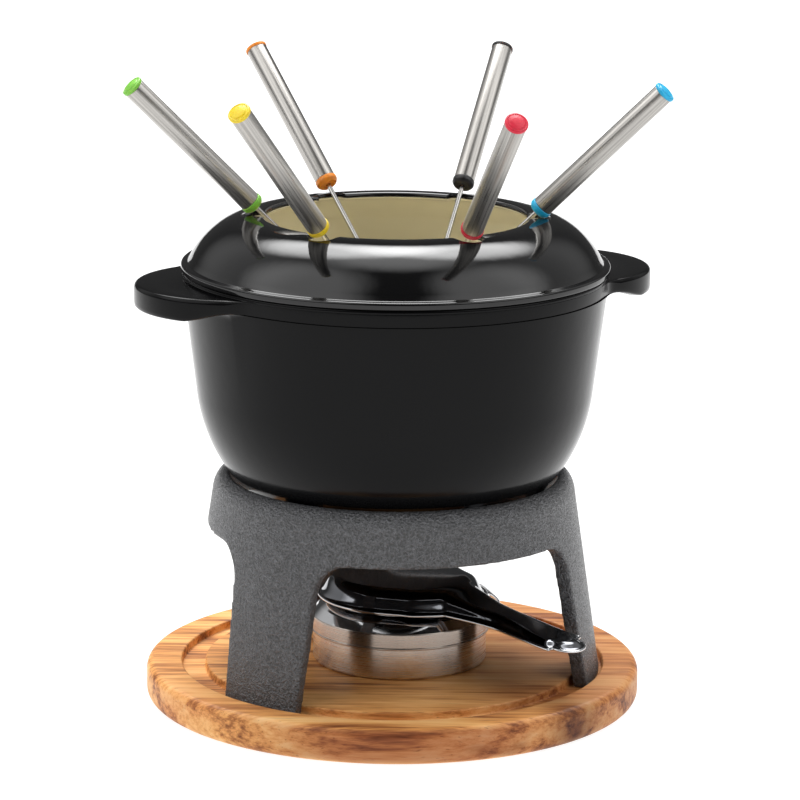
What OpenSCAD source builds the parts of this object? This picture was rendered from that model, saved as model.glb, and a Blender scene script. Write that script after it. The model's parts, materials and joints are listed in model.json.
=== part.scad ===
// Fondue pot set: wooden board, cast stand, enamelled pot with a fork guard,
// a spirit burner with a snuffer lid, and six long forks.
// Origin: centre of the board's underside. +Z is up. The pot's ears lie close to X.

/* [Board] */
// Diameter of the wooden board
board_d = 230; // [226:1:250]
// Thickness of the wooden board
board_t = 16.5; // [14:0.5:22]
// Inner diameter of the groove that the stand's feet stand in
groove_id = 175; // [172:1:177]
// Outer diameter of that groove
groove_od = 197; // [196:1:200]
// Depth of that groove
groove_depth = 4; // [2:0.5:6]

/* [Stand] */
// Outer radius of the feet at the groove floor
foot_r = 97; // [96:0.5:97.5]
// How far the stand's wall leans in for each millimetre of height
stand_lean = 0.15; // [0.14:0.01:0.17]
// Wall thickness of the casting
stand_wall = 7; // [6:0.5:8]
// Height of the top of the ring above the table
ring_top_z = 107; // [106:0.5:108]
// Height of the top of the three arches above the table
arch_top_z = 82; // [76:1:84]
// Corner radius of an arch
arch_corner_r = 15.7; // [12:0.1:18]
// Angle that one leg spans at half height
leg_angle = 29; // [24:1:34]
// Direction of the rear leg
leg_turn = 87.5; // [85:0.5:95]

/* [Pot] */
// Height of the pot's resting face above the table
pot_base_z = 96; // [95:0.5:97]
// Height of the pot's rim above the table
pot_rim_z = 202; // [198:1:206]
// Outer radius of the pot at its rim
pot_rim_r = 97.4; // [96:0.1:98]
// Wall thickness of the pot
pot_wall = 4.2; // [4:0.1:5]
// Radius of the round outline of each ear
ear_r = 45.5; // [42:0.5:48]
// Distance from the pot's axis to the middle of that outline
ear_reach = 77; // [74:0.5:80]
// Thickness of an ear's plate
ear_t = 6; // [5:0.5:7]
// How far the ears are turned from the X axis
ear_turn = -4.5; // [-10:0.5:10]

/* [Fork guard] */
// Radius of the guard's opening
opening_r = 60.5; // [58:0.5:61]
// Height of the guard's crown above the table
crown_z = 227; // [225:0.5:229]
// Width of a fork notch
notch_w = 14; // [13:0.5:16]
// Distance from the axis to the closed end of a notch
notch_end_r = 70.3; // [69:0.1:72]
// Direction of the first notch
notch_turn = -23; // [-30:1:30]

/* [Forks] */
// Diameter of a handle tube
handle_d = 9.8; // [9:0.1:10]
// Length of a handle tube
handle_l = 78; // [70:1:90]
// Diameter of the coloured collar and end cap
collar_d = 10.4; // [10:0.1:10.8]
// Diameter of the thin shaft
shaft_d = 2.2; // [2:0.1:2.6]
// Length from the collar to the tips of the prongs
reach_l = 158; // [140:1:160]

/* [Burner] */
// Outer diameter of the burner's cup
cup_d = 81; // [78:1:82]
// Height of the cup
cup_h = 21; // [20:0.5:22]
// Distance of the burner from the pot's axis
burner_x = 3.5; // [0:0.5:5]
// Direction in which the regulator's tab points
tab_turn = -8; // [-30:1:20]
// Direction in which the lid's handle points
lid_turn = -60; // [-75:1:-55]
// Distance from the burner's middle to the tip of the lid's handle
lid_reach = 103; // [95:1:106]

/* [Hidden] */
$fn = 96;
floor_z = board_t - groove_depth;
crown_r = 64.3;
foot_half = leg_angle / 2;
arch_step = 10.5;

// Each fork: how far its collar sits beside the middle of its notch, the
// collar's height, how far the fork leans over, how far it swings sideways,
// and the turn of its prongs about the shaft, which clears the other shafts
FORKS = [
    [-0.7, 229.2, 45.3, -17.5, 66],
    [1.4, 230.7, 45, 10.5, 123],
    [-0.3, 230.8, 45, 8, 42],
    [0.3, 230.2, 45.3, 21.5, 57],
    [-1.6, 229.2, 44, -6.5, 123],
    [1.2, 229, 45.6, -12.5, 84]
];
FORK_COLOURS = ["deepskyblue", "#1a1a1a", "darkorange", "limegreen", "yellow", "crimson"];
fork_seat_r = 64.4;

// Points along an arc of an ellipse with half axes rx and ry about (cx, cy)
function arc(cx, cy, rx, ry, from, to, steps) =
    [for (i = [0:steps]) let (a = from + (to - from) * i / steps)
        [cx + rx * cos(a), cy + ry * sin(a)]];

// ---- Board ----

module wood_board() {
    r = board_d / 2;
    round_top = 3.5;
    round_low = 4.5;
    color("peru")
        rotate_extrude()
            polygon(concat(
                [[0, 0]],
                arc(r - round_low, round_low, round_low, round_low, -90, 0, 6),
                arc(r - round_top, board_t - round_top, round_top, round_top, 0, 90, 6),
                [[groove_od / 2 + 0.6, board_t], [groove_od / 2, board_t - 0.6]],
                [[groove_od / 2, floor_z], [groove_id / 2, floor_z]],
                [[groove_id / 2, board_t - 0.6], [groove_id / 2 - 0.6, board_t], [0, board_t]]));
}

// ---- Stand ----

// Outer radius of the stand's leaning wall at a height
function stand_r(z) = foot_r - stand_lean * (z - floor_z);

// Section of the leaning wall with its rounded shoulder
module stand_section() {
    lean = atan(stand_lean);
    shoulder = 6.5;
    cz = ring_top_z - shoulder;
    cr = stand_r(cz) - shoulder / cos(lean);
    inner_r = cr + 0.3;
    inner_z = floor_z + (foot_r - stand_wall - inner_r) / stand_lean;
    polygon(concat(
        [[foot_r - stand_wall, floor_z], [foot_r, floor_z]],
        arc(cr, cz, shoulder, shoulder, lean, 87, 8),
        [[inner_r, ring_top_z - 0.4], [inner_r, inner_z]]));
}

// Half-space beside a leg: its face leans so that the leg widens upwards
module beside(angle, side) {
    half_height = 47;
    taper = 4.8;
    rotate([0, 0, angle])
        translate([0, 0, half_height])
            rotate([side * taper, 0, 0])
                translate([0, side > 0 ? 0 : -200, -200])
                    cube([200, 200, 400]);
}

// Space between two neighbouring legs, from angle a to angle b, up to height top
module between_legs(a, b, top) {
    intersection() {
        beside(a, 1);
        beside(b, -1);
        translate([-200, -200, -10])
            cube([400, 400, top + 10]);
    }
}

// One arch with its two round corners, around the direction 0
module arch() {
    half = 60 - foot_half;
    spring_z = arch_top_z - arch_corner_r;
    between_legs(-half, half, spring_z);
    between_legs(-half + arch_step, half - arch_step, arch_top_z - 0.2);
    for (side = [-1, 1])
        rotate([0, 0, side * (half - arch_step - 1.2)])
            translate([55, 0, spring_z])
                rotate([0, 90, 0])
                    cylinder(r = arch_corner_r, h = 60);
}

// Three brackets inside the ring carry the pot's base
module stand_bracket() {
    reach_r = 60;
    root_r = 80;
    rotate([0, 0, -8])
        rotate_extrude(angle = 16)
            polygon([[reach_r, pot_base_z], [reach_r, pot_base_z - 4],
                [root_r - 7, pot_base_z - 8], [root_r, pot_base_z - 13], [root_r, pot_base_z]]);
}

module stand() {
    color("#3c3f42") {
        difference() {
            rotate_extrude()
                stand_section();
            for (i = [0:2])
                rotate([0, 0, leg_turn + 60 + i * 120])
                    arch();
        }
        for (i = [0:2])
            rotate([0, 0, leg_turn + i * 120])
                stand_bracket();
    }
}

// ---- Pot ----

belly_r = 80;
belly_c = [12, 155.3];
belly_top = 5.9;

// Half outline of the pot at a distance in from its outer surface
function pot_side(inset, low_z) =
    let (r = belly_r - inset, low = -asin((belly_c[1] - low_z) / r))
        arc(belly_c[0], belly_c[1], r, r, low, -belly_top, 14);

module pot_outer() {
    base_r = 64;
    rotate_extrude()
        polygon(concat(
            [[0, pot_base_z + 1], [base_r - 8, pot_base_z + 1], [base_r - 8, pot_base_z]],
            [[base_r - 0.5, pot_base_z]],
            pot_side(0, pot_base_z + 1),
            [[pot_rim_r - 0.6, pot_rim_z - 8], [pot_rim_r + 0.3, pot_rim_z - 6]],
            arc(pot_rim_r - 0.7, pot_rim_z - 1.6, 1.6, 1.6, 0, 90, 4),
            [[0, pot_rim_z]]));
}

module pot_inner() {
    floor_t = 5;
    bottom = pot_base_z + floor_t;
    rotate_extrude()
        polygon(concat(
            [[0, bottom]],
            pot_side(pot_wall, bottom),
            [[pot_rim_r - pot_wall - 0.8, pot_rim_z - 8], [pot_rim_r - pot_wall, pot_rim_z - 6]],
            [[pot_rim_r - pot_wall, pot_rim_z + 1], [0, pot_rim_z + 1]]));
}

// One ear: a flat plate with a finger lip under its outer edge
module pot_ear() {
    top = pot_rim_z - 2;
    lip_low = top - 10.5;
    lip_t = 5;
    lip_half = 36;
    edge = 1.8;
    translate([ear_reach, 0, 0]) {
        rotate_extrude()
            polygon(concat(
                [[0, top - ear_t], [ear_r - edge, top - ear_t], [ear_r, top - ear_t + edge]],
                arc(ear_r - edge, top - edge, edge, edge, 0, 90, 4),
                [[0, top]]));
        intersection() {
            rotate_extrude()
                polygon([[ear_r - lip_t, lip_low + 1], [ear_r - lip_t + 1.5, lip_low],
                    [ear_r - 2, lip_low], [ear_r, lip_low + 2], [ear_r, top - edge],
                    [ear_r - lip_t, top - edge]]);
            translate([0, -lip_half, lip_low - 1])
                cube([ear_r + 1, 2 * lip_half, 12]);
        }
    }
}

module pot() {
    color("#17181a")
        difference() {
            union() {
                pot_outer();
                for (turn = [0, 180])
                    rotate([0, 0, turn + ear_turn])
                        pot_ear();
            }
            pot_inner();
        }
}

// ---- Fork guard ----

dome_c = [64.3, 185.9];
dome_rx = 35.5;
dome_ry = crown_z - dome_c[1];
guard_wall = 3.2;

module guard_section() {
    flange_r = 98.6;
    spigot_r = pot_rim_r - pot_wall - 0.7;
    spigot_t = 2.8;
    spigot_low = pot_rim_z - 3.5;
    inner_rx = dome_rx - guard_wall;
    inner_ry = dome_ry - guard_wall;
    inner_end = acos((spigot_r - spigot_t - dome_c[0]) / inner_rx);
    polygon(concat(
        [[spigot_r - spigot_t, spigot_low], [spigot_r, spigot_low], [spigot_r, pot_rim_z]],
        [[flange_r - 0.6, pot_rim_z], [flange_r, pot_rim_z + 0.7], [flange_r, pot_rim_z + 2.4]],
        [[flange_r - 0.8, pot_rim_z + 3.2], [95.4, pot_rim_z + 3.7], [94.4, pot_rim_z + 4.6]],
        arc(dome_c[0], dome_c[1], dome_rx, dome_ry, 34, 90, 16),
        arc(crown_r, crown_z - 3, crown_r - opening_r, 3, 105, 180, 5),
        [[opening_r + 0.6, crown_z - guard_wall - 0.7]],
        arc(dome_c[0], dome_c[1], inner_rx, inner_ry, 92, inner_end, 14)));
}

module notch() {
    r = notch_w / 2;
    translate([notch_end_r - r, 0, crown_z - 12]) {
        cylinder(r = r, h = 16);
        translate([-20, -r, 0])
            cube([20, notch_w, 16]);
    }
}

module fork_guard() {
    color("#17181a")
        difference() {
            rotate_extrude()
                guard_section();
            for (i = [0:5])
                rotate([0, 0, notch_turn + i * 60])
                    notch();
        }
}

// ---- Forks ----

// Puts a fork, drawn upright with its collar at the origin, into notch i
module in_notch(i) {
    f = FORKS[i];
    rotate([0, 0, notch_turn + i * 60])
        translate([fork_seat_r, f[0], f[1]])
            rotate([0, f[2], f[3]])
                children();
}

collar_t = 3.6;
plug_d = handle_d - 1.2;
plug_l = 8;

module fork_shaft(i) {
    r = shaft_d / 2;
    prong_gap = 2.3;
    prong_r = 0.7;
    prong_l = 20;
    point_l = 4;
    barb_out = 0.35;
    barb_r = 0.75;
    bend_z = prong_l + prong_gap - reach_l;
    color("silver")
        in_notch(i)
            rotate([0, 0, FORKS[i][4]]) {
                translate([0, 0, bend_z])
                    cylinder(r = r, h = collar_t + plug_l - bend_z);
                rotate([90, 0, 90])
                    translate([0, prong_l - reach_l, 0])
                        rotate_extrude(angle = 180)
                            translate([prong_gap, 0])
                                circle(r = prong_r, $fn = 32);
                for (side = [-1, 1])
                    translate([0, side * prong_gap, -reach_l]) {
                        cylinder(r1 = 0.15, r2 = prong_r, h = point_l);
                        translate([0, 0, point_l])
                            cylinder(r = prong_r, h = prong_l - point_l);
                        translate([0, side * barb_out, point_l + 1])
                            cylinder(r1 = barb_r, r2 = 0.3, h = 3.5);
                    }
            }
}

module fork_handle(i) {
    color("gainsboro")
        in_notch(i)
            translate([0, 0, collar_t])
                difference() {
                    cylinder(d = handle_d, h = handle_l);
                    translate([0, 0, -1])
                        cylinder(d = plug_d + 0.1, h = handle_l + 2);
                }
}

module fork_collar(i) {
    edge = 0.6;
    r = collar_d / 2;
    color(FORK_COLOURS[i])
        in_notch(i)
            rotate_extrude()
                polygon([[shaft_d / 2 + 0.05, 0], [r - 1.6, 0], [r - edge, edge], [r, 2 * edge],
                    [r, collar_t], [plug_d / 2, collar_t], [plug_d / 2, collar_t + plug_l],
                    [shaft_d / 2 + 0.05, collar_t + plug_l]]);
}

module fork_cap(i) {
    r = collar_d / 2;
    cap_t = 1.4;
    color(FORK_COLOURS[i])
        in_notch(i)
            translate([0, 0, collar_t + handle_l])
                rotate_extrude()
                    polygon(concat(
                        [[0, -plug_l], [plug_d / 2, -plug_l], [plug_d / 2, 0], [r, 0], [r, cap_t]],
                        arc(0, cap_t, r - 0.3, 1.1, 20, 90, 5)));
}

// ---- Burner ----

cup_r = cup_d / 2;
cup_t = 0.8;
cup_top = board_t + cup_h;
cover_r = cup_r + 1;
band_low = board_t + 14.5;
band_top = board_t + 22;
mouth_r = 27;
cover_top = board_t + 30;
sheet = 1;
ring_r = 34.3;
lid_z = cover_top + sheet;

// Everything of the burner is drawn about its own axis
module at_burner() {
    translate([burner_x, 0, 0])
        children();
}

module burner_cup() {
    edge = 1.5;
    color("silver")
        at_burner()
            rotate_extrude()
                polygon(concat(
                    [[0, board_t]],
                    arc(cup_r - edge, board_t + edge, edge, edge, -90, 0, 4),
                    [[cup_r, cup_top], [cup_r - cup_t, cup_top]],
                    [[cup_r - cup_t, board_t + cup_t], [0, board_t + cup_t]]));
}

module burner_wadding() {
    color("ivory")
        at_burner()
            translate([0, 0, board_t + cup_t])
                cylinder(r = cup_r - cup_t - 0.4, h = 15);
}

module burner_gauze() {
    gauze_z = board_t + cup_t + 15;
    pitch = 6;
    gauze_t = 0.8;
    clear_r = 30;
    color("darkgray")
        at_burner()
            difference() {
                translate([0, 0, gauze_z])
                    cylinder(r = cup_r - cup_t - 0.3, h = gauze_t);
                for (ix = [-5:5], iy = [-5:5])
                    if (norm([ix, iy]) * pitch < clear_r)
                        translate([ix * pitch - 2.2, iy * pitch - 2.2, gauze_z - 1])
                            cube([4.4, 4.4, gauze_t + 2]);
            }
}

module burner_cover() {
    bead = 0.4;
    shoulder_r = cover_r - mouth_r - 5;
    color("silver")
        at_burner()
            rotate_extrude()
                polygon(concat(
                    [[cover_r - sheet, band_low], [cover_r + bead, band_low]],
                    [[cover_r + bead, band_low + 0.8], [cover_r, band_low + 1.2]],
                    arc(cover_r - shoulder_r, band_top, shoulder_r, cover_top - band_top, 0, 90, 8),
                    [[mouth_r, cover_top], [mouth_r, cover_top - sheet]],
                    arc(cover_r - shoulder_r, band_top, shoulder_r - sheet,
                        cover_top - band_top - sheet, 90, 0, 8)));
}

// Turning ring on the cover, with a finger tab that curls down beside the cover
module burner_regulator() {
    tab_w = 13;
    curl_r = 9.5;
    curl_x = 38;
    color("silver")
        at_burner()
            rotate([0, 0, tab_turn]) {
                translate([0, 0, cover_top])
                    difference() {
                        union() {
                            cylinder(r = ring_r, h = sheet);
                            translate([0, -tab_w / 2, 0])
                                cube([curl_x + 0.5, tab_w, sheet]);
                        }
                        translate([0, 0, -1])
                            cylinder(r = mouth_r - 1, h = sheet + 2);
                    }
                translate([curl_x, 0, cover_top + sheet - curl_r])
                    rotate([90, 0, 0])
                        rotate_extrude(angle = 90)
                            translate([curl_r - sheet, -tab_w / 2])
                                square([sheet, tab_w]);
            }
}

// Outline of the lid's handle seen from above: it narrows to a round tip
module handle_outline(from, w, tip_w, inset) {
    tip_r = tip_w / 2 - inset;
    polygon(concat(
        [[from, -w / 2 + inset]],
        arc(lid_reach - tip_w / 2, 0, tip_r, tip_r, -90, 90, 12),
        [[from, w / 2 - inset]]));
}

// Stamped channel handle of the lid, sloping down towards its tip
module lid_handle() {
    root_w = 22;
    tip_w = 17;
    root_x = 34.5;
    ridge_h = 5;
    flange = 2.2;
    slope = 7.8;
    translate([root_x, 0, lid_z])
        rotate([0, slope, 0])
            translate([-root_x, 0, 0])
                difference() {
                    union() {
                        linear_extrude(sheet)
                            handle_outline(root_x, root_w, tip_w, 0);
                        linear_extrude(ridge_h)
                            handle_outline(root_x, root_w, tip_w, flange);
                    }
                    translate([0, 0, -1])
                        linear_extrude(ridge_h - sheet + 1)
                            handle_outline(root_x + 2.5, root_w, tip_w, flange + sheet);
                }
}

module snuffer_lid() {
    rim_r = 38;
    bowl_r = 36.2;
    round_r = 4;
    top = lid_z + 9.2;
    color("silver")
        at_burner()
            rotate([0, 0, lid_turn]) {
                rotate_extrude()
                    polygon(concat(
                        [[rim_r, lid_z], [rim_r, lid_z + sheet], [bowl_r, lid_z + sheet]],
                        arc(bowl_r - round_r, top - round_r, round_r, round_r, 0, 90, 5),
                        [[0, top], [0, top - sheet]],
                        arc(bowl_r - round_r, top - round_r, round_r - sheet, round_r - sheet,
                            90, 0, 5),
                        [[bowl_r - sheet, lid_z]]));
                lid_handle();
            }
}

wood_board();
stand();
pot();
fork_guard();
burner_cup();
burner_wadding();
burner_gauze();
burner_cover();
burner_regulator();
snuffer_lid();
fork_shaft(0);  // fork_blue_shaft
fork_handle(0);  // fork_blue_handle
fork_collar(0);  // fork_blue_collar
fork_cap(0);  // fork_blue_cap
fork_shaft(1);  // fork_black_shaft
fork_handle(1);  // fork_black_handle
fork_collar(1);  // fork_black_collar
fork_cap(1);  // fork_black_cap
fork_shaft(2);  // fork_orange_shaft
fork_handle(2);  // fork_orange_handle
fork_collar(2);  // fork_orange_collar
fork_cap(2);  // fork_orange_cap
fork_shaft(3);  // fork_green_shaft
fork_handle(3);  // fork_green_handle
fork_collar(3);  // fork_green_collar
fork_cap(3);  // fork_green_cap
fork_shaft(4);  // fork_yellow_shaft
fork_handle(4);  // fork_yellow_handle
fork_collar(4);  // fork_yellow_collar
fork_cap(4);  // fork_yellow_cap
fork_shaft(5);  // fork_red_shaft
fork_handle(5);  // fork_red_handle
fork_collar(5);  // fork_red_collar
fork_cap(5);  // fork_red_cap
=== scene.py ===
"""Looks of the fondue pot set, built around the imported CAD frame.

Lengths in this file are in millimetres unless a name ends in _m. The frame's origin is the
centre of the board's underside, +Z is up and the pot's ears lie close to X.
"""
import json
import math

import bmesh
import bpy
import numpy as np
from mathutils import Matrix, Vector


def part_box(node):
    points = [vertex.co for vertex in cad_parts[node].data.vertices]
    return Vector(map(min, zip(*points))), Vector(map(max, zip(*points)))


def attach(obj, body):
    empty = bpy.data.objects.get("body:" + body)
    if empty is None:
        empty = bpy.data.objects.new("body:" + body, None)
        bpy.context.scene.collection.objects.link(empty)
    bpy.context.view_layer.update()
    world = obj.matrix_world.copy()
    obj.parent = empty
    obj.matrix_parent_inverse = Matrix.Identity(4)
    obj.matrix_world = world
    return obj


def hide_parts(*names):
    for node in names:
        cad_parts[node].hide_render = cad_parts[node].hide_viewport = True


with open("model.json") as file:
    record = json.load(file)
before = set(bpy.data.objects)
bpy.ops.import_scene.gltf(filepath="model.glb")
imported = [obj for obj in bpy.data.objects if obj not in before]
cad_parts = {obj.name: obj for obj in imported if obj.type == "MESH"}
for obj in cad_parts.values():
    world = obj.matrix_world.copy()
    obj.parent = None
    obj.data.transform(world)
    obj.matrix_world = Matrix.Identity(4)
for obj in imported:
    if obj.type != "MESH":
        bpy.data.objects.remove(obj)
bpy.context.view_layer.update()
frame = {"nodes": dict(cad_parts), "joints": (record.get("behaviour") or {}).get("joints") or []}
MM = 0.001
COLOURS = ("blue", "black", "orange", "green", "yellow", "red")

# ---------------------------------------------------------------- driving sizes, as in the CAD

BOARD_R, BOARD_T = 115.0, 16.5
GROOVE_IN, GROOVE_OUT, FLOOR_Z = 87.5, 98.5, 12.5
FOOT_R, LEAN, STAND_WALL = 97.0, 0.15, 7.0
RING_TOP, ARCH_TOP, ARCH_CORNER = 107.0, 82.0, 15.7
LEG_TURN, LEG_HALF = 87.5, 14.5
POT_BASE, POT_RIM, POT_R, POT_WALL = 96.0, 202.0, 97.4, 4.2
EAR_R, EAR_REACH, EAR_TOP, EAR_T, EAR_TURN = 45.5, 77.0, 200.0, 6.0, -4.5
OPENING_R, CROWN_R, CROWN_Z = 60.5, 64.3, 227.0
NOTCH_W, NOTCH_END, NOTCH_TURN = 14.0, 70.3, -23.0
HANDLE_D, HANDLE_L, COLLAR_D, COLLAR_T = 9.8, 78.0, 10.4, 3.6
BURNER_X, CUP_R, CUP_TOP = 3.5, 40.5, 37.5
COVER_TOP, MOUTH_R, LID_Z = 46.5, 27.0, 47.5
LID_TURN, LID_REACH, LID_R, LID_H = -60.0, 103.0, 38.0, 9.2
TAB_TURN = -8.0
# a little wider than the CAD's, though inside its box
LID_TIP_R, TAB_HALF = 9.6, 8.5

# ---------------------------------------------------------------- mesh tools


def arc(cx, cy, rx, ry, start, end, steps):
    """Points along an arc of an ellipse, in degrees."""
    turns = np.radians(np.linspace(start, end, steps + 1))
    return [(cx + rx * math.cos(t), cy + ry * math.sin(t)) for t in turns]


def rounded(corners, steps=5):
    """An outline whose corners (x, y, radius) are rounded; a corner with no radius stays sharp."""
    out = []
    last = len(corners) - 1
    for i, corner in enumerate(corners):
        radius = corner[2] if len(corner) > 2 else 0
        here = np.array(corner[:2], float)
        if radius <= 0 or i in (0, last):
            out.append(tuple(here))
            continue
        a = np.array(corners[i - 1][:2], float) - here
        b = np.array(corners[i + 1][:2], float) - here
        a, b = a / np.linalg.norm(a), b / np.linalg.norm(b)
        half = math.acos(max(-1.0, min(1.0, float(a @ b)))) / 2
        reach = radius / math.tan(half)
        centre = here + (a + b) / np.linalg.norm(a + b) * radius / math.sin(half)
        first, second = here + a * reach - centre, here + b * reach - centre
        sweep = math.pi - 2 * half
        for k in range(steps + 1):
            t = k / steps
            p = (math.sin((1 - t) * sweep) * first + math.sin(t * sweep) * second) / math.sin(sweep)
            out.append(tuple(centre + p))
    return out


def at_turn(outline, a):
    """An outline of (radius, height) points, stood at an angle about the vertical axis."""
    return [(r * math.cos(a), r * math.sin(a), z) for r, z in outline]


def burner_place(turn=0.0):
    """The burner's own frame, turned about its axis in degrees."""
    return Matrix.Translation((BURNER_X * MM, 0, 0)) @ Matrix.Rotation(math.radians(turn), 4, "Z")


def new_piece(name, mesh, body, slot, replaces, material, matrix=None):
    """Makes an object of a mesh and ties it to the frame."""
    piece = bpy.data.objects.new(name, mesh)
    bpy.context.scene.collection.objects.link(piece)
    if matrix is not None:
        piece.matrix_world = matrix
    for m in material if isinstance(material, (list, tuple)) else [material]:
        mesh.materials.append(m)
    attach(piece, body)
    if replaces:
        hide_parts(*replaces)
    return piece


def finish_mesh(name, verts, faces, tags=None, smooth=True):
    """A clean mesh in metres, from points in millimetres. Tags are material numbers."""
    bm = bmesh.new()
    vs = [bm.verts.new(Vector(v) * MM) for v in verts]
    for i, face in enumerate(faces):
        if len(set(face)) < 3:
            continue
        f = bm.faces.new([vs[k] for k in face])
        f.smooth = smooth
        if tags is not None:
            f.material_index = tags[i]
    bmesh.ops.remove_doubles(bm, verts=bm.verts, dist=2e-6)
    bmesh.ops.dissolve_degenerate(bm, edges=bm.edges, dist=1e-6)
    bmesh.ops.recalc_face_normals(bm, faces=bm.faces)
    mesh = bpy.data.meshes.new(name)
    bm.to_mesh(mesh)
    bm.free()
    return mesh


def grid(name, points, wrap_u=True, wrap_v=False, caps=False, tag=None):
    """A mesh over a grid of points [u][v]; tag(u, v) gives a face's material number."""
    points = np.asarray(points, float)
    nu, nv = points.shape[:2]
    verts = points.reshape(-1, 3)
    faces, tags = [], []
    for u in range(nu if wrap_u else nu - 1):
        for v in range(nv if wrap_v else nv - 1):
            u1, v1 = (u + 1) % nu, (v + 1) % nv
            faces.append((u * nv + v, u1 * nv + v, u1 * nv + v1, u * nv + v1))
            tags.append(tag(u, v) if tag else 0)
    if caps:
        faces += [tuple(range(nv)), tuple((nu - 1) * nv + v for v in range(nv))]
        tags += [0, 0]
    return finish_mesh(name, verts, faces, tags)


def lathe(name, outline, segments=256, closed=False, tag=None):
    """Turns an outline of (radius, height) points about the vertical axis."""
    turns = np.linspace(0, 2 * math.pi, segments, endpoint=False)
    points = [at_turn(outline, t) for t in turns]
    return grid(name, points, wrap_v=closed, tag=(lambda u, v: tag(v)) if tag else None)


def bake_modifiers(piece):
    """Applies a piece's modifiers to its mesh."""
    graph = bpy.context.evaluated_depsgraph_get()
    mesh = bpy.data.meshes.new_from_object(piece.evaluated_get(graph))
    piece.modifiers.clear()
    piece.data = mesh
    for polygon in mesh.polygons:
        polygon.use_smooth = True


def crease_by_angle(mesh, degrees):
    """Marks edges sharper than an angle, so that flat ends keep a crisp edge."""
    bm = bmesh.new()
    bm.from_mesh(mesh)
    limit = math.radians(degrees)
    for edge in bm.edges:
        edge.smooth = len(edge.link_faces) != 2 or edge.calc_face_angle() < limit
    bm.to_mesh(mesh)
    bm.free()


def smoothstep(x, low, high):
    t = np.clip((x - low) / (high - low), 0, 1)
    return t * t * (3 - 2 * t)


# ---------------------------------------------------------------- material tools


class Look:
    """A procedural material: a Principled shader and short calls that add nodes to it."""

    def __init__(self, name, **settings):
        self.material = bpy.data.materials.new(name)
        self.material.use_nodes = True
        self.tree = self.material.node_tree
        self.shader = self.tree.nodes["Principled BSDF"]
        self.set(**settings)

    def set(self, **settings):
        for key, value in settings.items():
            self.plug(self.shader.inputs[key.replace("_", " ").title().replace("Ior", "IOR")], value)

    def plug(self, socket, value):
        if isinstance(value, bpy.types.NodeSocket):
            self.tree.links.new(value, socket)
        elif isinstance(value, (tuple, list)) and len(value) == 3 and socket.type == "RGBA":
            socket.default_value = (*value, 1.0)
        else:
            socket.default_value = value

    def add(self, kind, output=0, props=None, **inputs):
        node = self.tree.nodes.new("ShaderNode" + kind)
        for key, value in (props or {}).items():
            setattr(node, key, value)
        for key, value in inputs.items():
            key = int(key[1:]) if key[0] == "i" and key[1:].isdigit() else key.replace("_", " ")
            self.plug(node.inputs[key], value)
        return node.outputs[output]

    def place(self, turn=(0, 0, 0), scale=(1, 1, 1), shift=(0, 0, 0)):
        """Object coordinates, turned in degrees, then scaled and shifted."""
        spot = self.add("TexCoord", "Object")
        turned = self.add("Mapping", Vector=spot, Rotation=tuple(math.radians(a) for a in turn))
        return self.add("Mapping", Vector=turned, Scale=tuple(scale), Location=tuple(shift))

    def noise(self, vector, scale, detail=3.0, rough=0.5, distortion=0.0):
        return self.add("TexNoise", Vector=vector, Scale=scale, Detail=detail, Roughness=rough,
                        Distortion=distortion)

    def math(self, operation, a, b=0.0, c=0.0):
        return self.add("Math", props={"operation": operation}, i0=a, i1=b, i2=c)

    def remap(self, value, from_low, from_high, to_low, to_high):
        return self.add("MapRange", i0=value, i1=from_low, i2=from_high, i3=to_low, i4=to_high)

    def ramp(self, value, *stops):
        node = self.tree.nodes.new("ShaderNodeValToRGB")
        ramp = node.color_ramp
        while len(ramp.elements) < len(stops):
            ramp.elements.new(0.5)
        for element, (position, colour) in zip(ramp.elements, stops):
            element.position = position
            element.color = (*colour, 1.0)
        self.tree.links.new(value, node.inputs[0])
        return node.outputs[0]

    def mix(self, share, a, b, blend="MIX"):
        node = self.tree.nodes.new("ShaderNodeMix")
        node.data_type = "RGBA"
        node.blend_type = blend
        self.plug(node.inputs[0], share)
        self.plug(node.inputs[6], a)
        self.plug(node.inputs[7], b)
        return node.outputs[2]

    def bump(self, height, distance_m, strength=1.0, under=None):
        inputs = {"Height": height, "Distance": distance_m, "Strength": strength}
        if under is not None:
            inputs["Normal"] = under
        return self.add("Bump", **inputs)


def enamel(name, colour, specular, rough_low, rough_high):
    """Glossy vitreous enamel over cast iron: almost flat, with a faint orange peel."""
    look = Look(name, specular_ior_level=specular)
    spot = look.place()
    tone = look.noise(spot, 14.0, 3.0)
    darker = tuple(c * 0.82 for c in colour)
    look.set(base_color=look.mix(look.remap(tone, 0.35, 0.65, 0.0, 1.0), darker, colour))
    look.set(roughness=look.remap(look.noise(spot, 40.0, 4.0), 0.3, 0.7, rough_low, rough_high))
    peel = look.bump(look.noise(spot, 110.0, 2.0), 0.00025, 0.25)
    look.set(normal=look.bump(look.noise(spot, 26.0, 1.0), 0.0009, 0.18, under=peel))
    return look.material


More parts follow.
